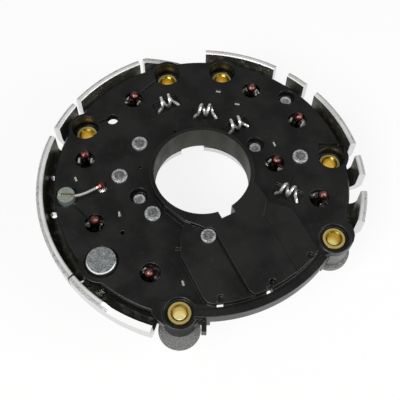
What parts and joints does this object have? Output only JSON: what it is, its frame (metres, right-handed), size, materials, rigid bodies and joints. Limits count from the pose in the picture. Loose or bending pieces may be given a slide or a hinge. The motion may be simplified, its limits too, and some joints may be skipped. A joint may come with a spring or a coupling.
{
  "type": "alternator rectifier",
  "caption": "Round alternator rectifier: slotted aluminium heat-sink dishes with press-fit diodes under a black moulded terminal plate with a central bore.",
  "frame": {"origin": "on the axis of the central bore, at the middle of the collar's height; the seating plane is 15.5 mm below it", "axes": "+Z along the bore axis towards the terminal side seen in the picture, +Y away from the connector block, +X to the picture's right"},
  "size_m": [0.1389, 0.1413, 0.0436],
  "materials": {
    "moulding": "satin black glass-filled moulding",
    "sink": "plain pressed sheet, bright at cut edges",
    "diode": "copper lead with a welded ball, plated cup",
    "strip": "tinned copper strip",
    "clip": "bright tinned copper wire",
    "bush": "yellow passivated zinc on steel",
    "rivet": "dull rolled rivet heads",
    "bolt": "clear zinc plate",
    "post": "pale green-grey zinc plate",
    "insulator": "dark brown phenolic"
  },
  "bodies": {
    "root": {"terminal_plate": "moulding", "positive_heat_sink": "sink", "negative_heat_sink": "sink", "positive_diode_1": "diode", "positive_diode_2": "diode", "positive_diode_3": "diode", "positive_diode_4": "diode", "negative_diode_1": "diode", "negative_diode_2": "diode", "negative_diode_3": "diode", "negative_diode_4": "diode", "phase_conductor_1": "strip", "phase_conductor_2": "strip", "phase_conductor_3": "strip", "neutral_conductor": "strip", "stator_clip_1": "clip", "stator_clip_2": "clip", "stator_clip_3": "clip", "stator_clip_4": "clip", "positive_bushes": "bush", "negative_bushes": "bush", "insulating_bushes": "insulator", "flush_rivets": "rivet", "block_rivet": "rivet", "sunk_rivets": "rivet", "output_bolt": "bolt", "output_insulator": "insulator", "signal_post": "post", "signal_wire": "clip"}
  },
  "joints": []
}
